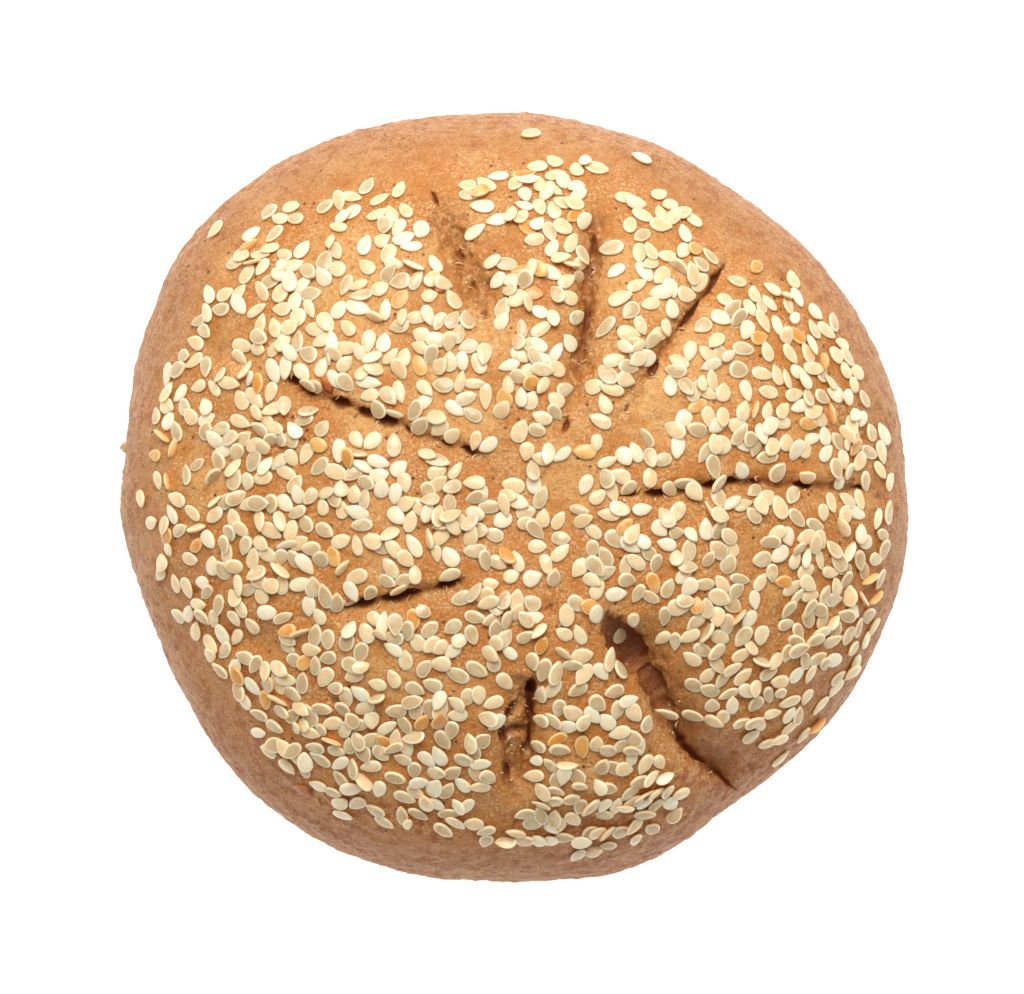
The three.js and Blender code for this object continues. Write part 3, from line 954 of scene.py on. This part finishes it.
def crumb(place, radius):
    """A ragged little lump."""
    stretch = rng.uniform(0.6, 1.5, 3)
    verts = [(0.0, 0.0, 1.0)]
    for latitude in (45, 0, -45):
        for i in range(CRUMB_SIDES):
            turn = 2 * math.pi * (i + 0.25 * rng.random()) / CRUMB_SIDES
            wide = math.cos(math.radians(latitude)) * rng.uniform(0.7, 1.25)
            verts.append((wide * math.cos(turn), wide * math.sin(turn), math.sin(math.radians(latitude))))
    verts.append((0.0, 0.0, -1.0))
    points = [place + radius * stretch * np.array(v) for v in verts]
    return points, closed_faces(3, CRUMB_SIDES)


def torn_crumbs(ground):
    """Pale crumbs that stayed behind where the dough tore."""
    for _ in range(CRUMB_COUNT):
        cut = list(CUTS.values())[rng.integers(len(CUTS))]
        start, end, left_reach, right_reach, _ = cut["torn"]
        middle, _, left = place_on(cut["path"], rng.uniform(start, end))
        spot = middle + left * rng.uniform(-right_reach, left_reach)
        height = ground.height(spot[:1], spot[1:])[0]
        yield crumb(np.array([*spot, height + 0.04]), rng.uniform(*CRUMB_RADIUS))


def rim_lumps():
    """Little lumps of dough that stick out of the roll's widest part."""
    for x, y, radius in RIM_LUMPS:
        yield crumb(np.array([x, y, BELLY_HEIGHT + 2.0]), radius)


def bran_flakes(ground):
    """Flakes of bran lying on the crust."""
    for x, y, heading in BRAN_FLAKES:
        spot = np.array([x]), np.array([y])
        up = ground.normal(*spot)[0]
        turn = math.radians(heading)
        along = unit(np.cross(up, (math.sin(turn), -math.cos(turn), 0.0)))
        axes = np.array([along, np.cross(up, along), up])
        middle = np.array([x, y, ground.height(*spot)[0]]) + 0.15 * up
        points, faces = crumb(np.zeros(3), 1.0)
        yield [middle + (point * BRAN_FLAKE_SIZE) @ axes for point in points], faces


def make_fibres(ground):
    """The strands, crumbs, lumps and bran flakes as one piece."""
    dough = [*slit_strands(ground), *torn_crumbs(ground), *rim_lumps()]
    parts = [(points, faces, {"bran": 0.0}) for points, faces in dough]
    parts += [(points, faces, {"bran": 1.0}) for points, faces in bran_flakes(ground)]
    return joined_object("torn_fibres", parts)


# ------------------------------ materials


class Shader:
    """A material's nodes, made one at a time and joined as they are made."""

    def __init__(self, name):
        self.material = bpy.data.materials.new(name)
        self.material.use_nodes = True
        self.nodes = self.material.node_tree.nodes
        self.links = self.material.node_tree.links
        self.surface = self.nodes["Principled BSDF"]
        self.place = self.add("ShaderNodeTexCoord").outputs["Object"]

    def add(self, kind, inputs=(), **settings):
        node = self.nodes.new(kind)
        for key, value in settings.items():
            setattr(node, key, value)
        for key, value in dict(inputs).items():
            self.feed(node.inputs[key], value)
        return node

    def feed(self, socket, value):
        if isinstance(value, bpy.types.NodeSocket):
            self.links.new(value, socket)
        else:
            socket.default_value = value

    def noise(self, size, detail=3.0, roughness=0.55):
        """Noise whose features are about size mm across."""
        inputs = {"Vector": self.place, "Scale": 1.0 / (size * MM)}
        inputs |= {"Detail": detail, "Roughness": roughness}
        return self.add("ShaderNodeTexNoise", inputs).outputs["Fac"]

    def patches(self, size, low, high, most=1.0, detail=3.0, roughness=0.55):
        """Soft-edged patches about size mm across: 0 where the noise is under low, and most over high."""
        return self.span(self.noise(size, detail, roughness), low, high, 0.0, most)

    def cells(self, size):
        """Distance from the middle of the nearest of many cells, which are about size mm across."""
        inputs = {"Vector": self.place, "Scale": 1.0 / (size * MM)}
        return self.add("ShaderNodeTexVoronoi", inputs).outputs["Distance"]

    def northing(self):
        """Distance north of the middle of the roll, in metres."""
        return self.add("ShaderNodeSeparateXYZ", {"Vector": self.place}).outputs["Y"]

    def attribute(self, name):
        return self.add("ShaderNodeAttribute", attribute_name=name).outputs["Fac"]

    def span(self, value, low, high, to_low=0.0, to_high=1.0):
        """Low to high, turned smoothly into to_low to to_high."""
        inputs = {"Value": value, "From Min": low, "From Max": high, "To Min": to_low, "To Max": to_high}
        return self.add("ShaderNodeMapRange", inputs, interpolation_type="SMOOTHSTEP").outputs["Result"]

    def maths(self, operation, *values):
        node = self.add("ShaderNodeMath", operation=operation)
        for i, value in enumerate(values):
            self.feed(node.inputs[i], value)
        return node.outputs[0]

    def both(self, first, second):
        return self.maths("MULTIPLY", first, second)

    def mix(self, amount, first, second):
        node = self.add("ShaderNodeMix", data_type="RGBA")
        self.feed(node.inputs[0], amount)
        self.feed(node.inputs[6], first)
        self.feed(node.inputs[7], second)
        return node.outputs[2]

    def bump(self, height, distance, strength=1.0, under=None):
        inputs = {"Height": height, "Distance": distance * MM, "Strength": strength}
        if under is not None:
            inputs["Normal"] = under
        return self.add("ShaderNodeBump", inputs).outputs["Normal"]

    def finished(self, looks):
        """The material, with its surface's sockets joined or set by name."""
        for name, value in looks.items():
            self.feed(self.surface.inputs[name], value)
        return self.material


GOLDEN = (0.52, 0.195, 0.031, 1)
PALE = (0.66, 0.325, 0.092, 1)
ORANGE = (0.54, 0.165, 0.014, 1)
RIM_TAN = (0.455, 0.20, 0.066, 1)
RIM_ORANGE = (0.36, 0.095, 0.012, 1)
# Brown of the banks beside the cuts, partly baked and partly painted shade, and of stains on torn crumb.
BANK_BROWN_AND_SHADE = (0.31, 0.10, 0.017, 1)
# Painted shade for the slits, pits and hollows.
RECESS_SHADE_COLOUR = (0.29, 0.078, 0.024, 1)
CRUMB = (0.72, 0.47, 0.20, 1)
BRAN = (0.15, 0.055, 0.018, 1)
FLOUR = (0.84, 0.60, 0.32, 1)
SHADE = (0.36, 0.135, 0.028, 1)
BASE_BROWN = (0.25, 0.105, 0.034, 1)


def baked_colour(shader, share, brown_and_shade):
    """Golden, pale and orange stretches, a tan rim, and banks beside the cuts in brown and painted shade.
    """
    flour = shader.attribute("floury")
    broad = shader.maths("ADD", shader.noise(12.0), shader.both(flour, 0.35))
    colour = shader.mix(shader.span(broad, 0.46, 0.72), GOLDEN, PALE)
    mottled = shader.maths("SUBTRACT", shader.noise(3.2, 4.0), shader.both(flour, 0.1))
    colour = shader.mix(shader.span(mottled, 0.46, 0.62, 0.0, 0.62), colour, ORANGE)
    colour = shader.mix(shader.span(share, 0.84, 0.99, 0.0, 0.9), colour, RIM_TAN)
    # Brown banks beside the cuts, partly baked brown and partly painted shade.
    return shader.mix(shader.span(brown_and_shade, 0.12, 0.85, 0.0, 0.95), colour, BANK_BROWN_AND_SHADE)


def grainy_colour(shader, colour, share, brown_and_shade):
    """Pale and dark grains, with fewer pale ones where the crust is brown and at the rim."""
    plain = shader.both(shader.span(brown_and_shade, 0.1, 0.7, 1.0, 0.25), shader.span(share, 0.84, 0.95, 1.0, 0.35))
    sandy = shader.both(shader.span(shader.noise(5.0, 2.0), 0.35, 0.65, 0.25, 0.75), plain)
    pale_grain = shader.patches(0.38, 0.44, 0.68, 1.0, 3.0, 0.7)
    colour = shader.mix(shader.both(pale_grain, sandy), colour, FLOUR)
    colour = shader.mix(shader.patches(0.75, 0.50, 0.68, 0.6, 3.0, 0.7), colour, SHADE)
    specks = shader.span(shader.cells(0.40), 0.26, 0.12)
    some = shader.both(shader.patches(0.9, 0.50, 0.60, 0.40, 1.0), plain)
    return shader.mix(shader.both(specks, some), colour, FLOUR)


def torn_colour(shader, colour):
    """Pale streaks of crumb and brown stains where the dough tore."""
    torn = shader.attribute("torn")
    streaks = shader.patches(1.3, 0.54, 0.66, 0.75, 4.0, 0.7)
    colour = shader.mix(shader.both(torn, streaks), colour, CRUMB)
    stains = shader.patches(1.0, 0.52, 0.64, 0.6, 4.0, 0.7)
    return shader.mix(shader.both(torn, stains), colour, BANK_BROWN_AND_SHADE)


def rim_colour(shader, colour, share):
    """Orange blotches at the rim, which are like bark in the south, and its dark and pale grain."""
    rim = shader.span(share, 0.84, 0.99, 0.0, 0.9)
    blotches = shader.patches(2.1, 0.51, 0.57, 0.85, 4.0, 0.7)
    colour = shader.mix(shader.both(rim, blotches), colour, RIM_ORANGE)
    south = shader.span(shader.northing(), -22.0 * MM, -38.0 * MM)
    bark = shader.both(south, shader.span(share, 0.80, 0.86))
    flecks = shader.patches(1.9, 0.53, 0.58, 0.85, 3.0, 0.65)
    colour = shader.mix(shader.both(bark, flecks), colour, RIM_ORANGE)
    dark_grain = shader.patches(0.4, 0.50, 0.64, 0.45, 3.0, 0.65)
    colour = shader.mix(shader.both(rim, dark_grain), colour, SHADE)
    pale_grain = shader.patches(0.42, 0.52, 0.66, 0.4, 3.0, 0.7)
    return shader.mix(shader.both(rim, pale_grain), colour, FLOUR)


def bran_colour(shader, colour):
    """Pores and specks of bran."""
    pores = shader.span(shader.cells(0.75), 0.17, 0.07)
    porous = shader.patches(2.6, 0.48, 0.56, 0.7, 2.0)
    colour = shader.mix(shader.both(pores, porous), colour, BRAN)
    specks = shader.span(shader.cells(1.7), 0.22, 0.08)
    speckled = shader.patches(3.5, 0.50, 0.58, 1.0, 2.0)
    return shader.mix(shader.both(specks, speckled), colour, BRAN)


def crust_material():
    shader = Shader("crust")
    share = shader.attribute("share")
    uneven = shader.span(shader.noise(2.2, 4.0, 0.65), 0.30, 0.70, -0.28, 0.28)
    brown_and_shade = shader.maths("ADD", shader.attribute("brown_and_shade"), uneven)
    colour = baked_colour(shader, share, brown_and_shade)
    colour = grainy_colour(shader, colour, share, brown_and_shade)
    colour = torn_colour(shader, colour)
    colour = rim_colour(shader, colour, share)
    colour = bran_colour(shader, colour)
    colour = shader.mix(shader.span(shader.attribute("low"), 0.70, 0.98), colour, BASE_BROWN)
    # Painted shade down in the slits, pits and hollows.
    colour = shader.mix(shader.span(shader.attribute("painted_recess_shade"), 0.20, 0.92), colour, RECESS_SHADE_COLOUR)
    rough = shader.span(shader.noise(1.2), 0.3, 0.7, 0.42, 0.66)
    glazed = shader.span(brown_and_shade, 0.2, 0.8, 0.0, 0.14)
    wrinkle = shader.bump(shader.noise(1.5, 4.0, 0.65), 0.45, 0.75)
    return shader.finished({
        "Base Color": colour,
        "Roughness": shader.maths("SUBTRACT", rough, glazed),
        "Specular IOR Level": 0.35,
        "Subsurface Weight": 0.10,
        "Subsurface Radius": (1.0, 0.40, 0.14),
        "Subsurface Scale": 1.0 * MM,
        "Normal": shader.bump(shader.noise(0.42, 3.0, 0.7), 0.17, 1.0, wrinkle),
    })


# Each shade of seed: the colours of its middle, from one seed to the next, its clearer patches, its rim,
# which is paler for its own margin and for a painted highlight, and its tip, and how much light goes
# through.
SEED_LOOKS = {
    "cream": ((0.90, 0.64, 0.36, 1), (0.95, 0.75, 0.48, 1), (0.82, 0.55, 0.28, 1), (0.97, 0.81, 0.55, 1),
              (0.84, 0.55, 0.26, 1), 0.6),
    "ivory": ((0.95, 0.77, 0.53, 1), (0.98, 0.85, 0.63, 1), (0.91, 0.71, 0.46, 1), (0.98, 0.84, 0.62, 1),
              (0.89, 0.66, 0.38, 1), 0.5),
    "translucent": ((0.60, 0.44, 0.24, 1), (0.78, 0.62, 0.38, 1), (0.58, 0.40, 0.20, 1),
                    (0.94, 0.80, 0.56, 1), (0.74, 0.46, 0.21, 1), 0.65),
    "toasted": ((0.72, 0.30, 0.05, 1), (0.90, 0.58, 0.22, 1), (0.70, 0.28, 0.05, 1), (0.90, 0.60, 0.26, 1),
                (0.60, 0.24, 0.05, 1), 0.5),
}
# Painted warm shade on the seeds' steep sides, in place of the warm light that shines through thin seeds.
SEED_SIDE_PAINTED_SHADE = (0.90, 0.50, 0.18, 1)


def seed_material(shade):
    one, other, clear, rim, point, through = SEED_LOOKS[shade]
    shader = Shader("sesame_seed_" + shade)
    edge = shader.attribute("edge")
    colour = shader.mix(shader.attribute("tone"), one, other)
    colour = shader.mix(shader.patches(1.6, 0.40, 0.64, 0.8, 3.0, 0.6), colour, clear)
    # The paler rim: partly the seed's own margin, partly a painted highlight.
    colour = shader.mix(shader.span(edge, 0.70, 0.84, 0.0, 0.9), colour, rim)
    # Painted warm shade on the steep sides.
    colour = shader.mix(shader.span(edge, 0.97, 1.0, 0.0, 0.85), colour, SEED_SIDE_PAINTED_SHADE)
    colour = shader.mix(shader.span(shader.attribute("point"), 0.50, 1.0, 0.0, 0.6), colour, point)
    return shader.finished({
        "Base Color": colour,
        "Roughness": shader.span(shader.noise(0.8, 2.0), 0.3, 0.7, 0.18, 0.32),
        "Specular IOR Level": 0.55,
        "Subsurface Weight": through,
        "Subsurface Radius": (1.0, 0.65, 0.35),
        "Subsurface Scale": 1.0 * MM,
        "Normal": shader.bump(shader.noise(0.9), 0.12, 0.7),
    })


def fibre_material():
    shader = Shader("torn_fibre")
    tone = shader.patches(2.5, 0.35, 0.65, 1.0, 2.0)
    dough = shader.mix(tone, (0.52, 0.25, 0.075, 1), (0.82, 0.60, 0.34, 1))
    bran = shader.mix(tone, (0.40, 0.09, 0.02, 1), (0.64, 0.24, 0.06, 1))
    return shader.finished({
        "Base Color": shader.mix(shader.attribute("bran"), dough, bran),
        "Roughness": 0.4,
        "Subsurface Weight": 0.3,
        "Subsurface Radius": (0.8, 0.5, 0.3),
        "Subsurface Scale": 0.5 * MM,
    })


# ------------------------------ the studio

CAMERA_DISTANCE = 1.5
FRAME_WIDTH = 0.1455  # how much of the roll's widest plane the picture spans
SENSOR = 36.0
KEY_ELEVATION = 58.0
KEY_DISTANCE = 0.75
KEY_SIZE = 0.55
KEY_POWER = 6.0
KEY_TARGET = 0.02  # height of the point that it is turned to
KEY_COLOUR = (1.0, 0.985, 0.96)
SKY_STRENGTH = 0.35
FLOOR_REACH = 20.0  # so that its edge is far behind the roll in a low view
FLOOR_HEIGHT = -0.0002
FLOOR_GLOW = 0.80
WHITE = (1, 1, 1, 1)


def make_floor():
    corners = [(x * FLOOR_REACH, y * FLOOR_REACH, 0) for x, y in ((-1, -1), (1, -1), (1, 1), (-1, 1))]
    data = bpy.data.meshes.new("floor")
    data.from_pydata(corners, [], [(0, 1, 2, 3)])
    floor = added("floor", data)
    floor.location.z = FLOOR_HEIGHT
    shader = Shader("floor")
    data.materials.append(shader.finished({
        "Base Color": shader.mix(shader.noise(40.0, 2.0), (0.90, 0.90, 0.89, 1), (0.92, 0.92, 0.91, 1)),
        "Roughness": 0.8,
        "Emission Color": WHITE,
        "Emission Strength": FLOOR_GLOW,
    }))
    floor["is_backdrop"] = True


def make_lights():
    elevation = math.radians(KEY_ELEVATION)
    data = bpy.data.lights.new("key", "AREA")
    data.shape = "DISK"
    data.size = KEY_SIZE
    data.energy = KEY_POWER
    data.color = KEY_COLOUR
    key = added("key", data)
    key.location = (0.0, KEY_DISTANCE * math.cos(elevation), KEY_DISTANCE * math.sin(elevation))
    key.rotation_euler = (Vector((0, 0, KEY_TARGET)) - key.location).to_track_quat("-Z", "Y").to_euler()
    world = bpy.data.worlds.new("studio")
    world.use_nodes = True
    sky = world.node_tree.nodes["Background"]
    sky.inputs["Color"].default_value = WHITE
    sky.inputs["Strength"].default_value = SKY_STRENGTH
    bpy.context.scene.world = world


def make_camera():
    data = bpy.data.cameras.new("camera")
    data.sensor_width = SENSOR
    data.lens = SENSOR * CAMERA_DISTANCE / FRAME_WIDTH
    camera = added("camera", data)
    camera.location = (0.0, 0.0, BELLY_HEIGHT * MM + CAMERA_DISTANCE)
    bpy.context.scene.camera = camera


# ------------------------------ the whole

make_camera()
make_lights()
make_floor()

crust = make_crust()
crust.data.materials.append(crust_material())
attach(crust, "root")
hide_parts("roll")

ground = Ground(crust)
fibres = make_fibres(ground)
fibres.data.materials.append(fibre_material())
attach(fibres, "root")

for shade, (piece, stands_for) in make_seeds(ground).items():
    piece.data.materials.append(seed_material(shade))
    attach(piece, "root")
    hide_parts(*stands_for)

bpy.context.scene.view_settings.view_transform = "Standard"

boxes = {"cad": CAD_BOX, "visual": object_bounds()}
{name: [list(corner) for corner in box] for name, box in boxes.items()}
